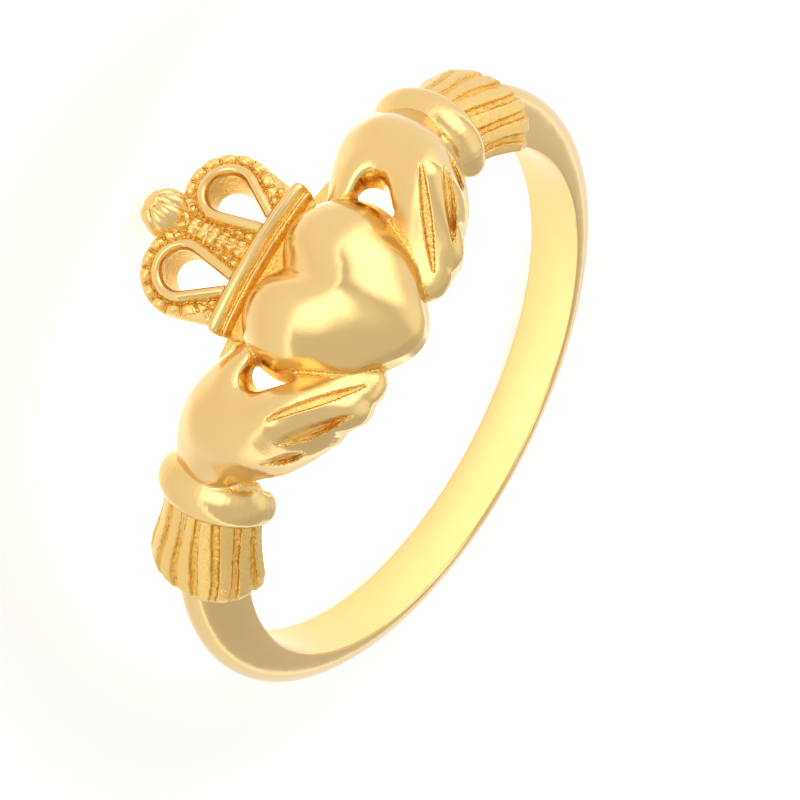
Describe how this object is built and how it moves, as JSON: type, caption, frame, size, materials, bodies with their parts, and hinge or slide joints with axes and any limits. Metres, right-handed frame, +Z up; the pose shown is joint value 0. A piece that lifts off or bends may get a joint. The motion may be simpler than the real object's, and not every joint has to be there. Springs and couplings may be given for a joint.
{
  "type": "claddagh ring",
  "caption": "Cast finger ring that lies on its side: two cuffed hands hold a crowned, domed heart on a plain rounded band.",
  "frame": {"origin": "on the surface the ring lies on, under the middle of its bounding box", "axes": "+Y from the heart to the back of the band, +Z up, +X along the face from one hand to the other"},
  "size_m": [0.02, 0.021, 0.0102],
  "materials": {
    "gold": "polished yellow gold with darker grainy recesses"
  },
  "bodies": {
    "root": {"claddagh_ring": "gold"}
  },
  "joints": []
}
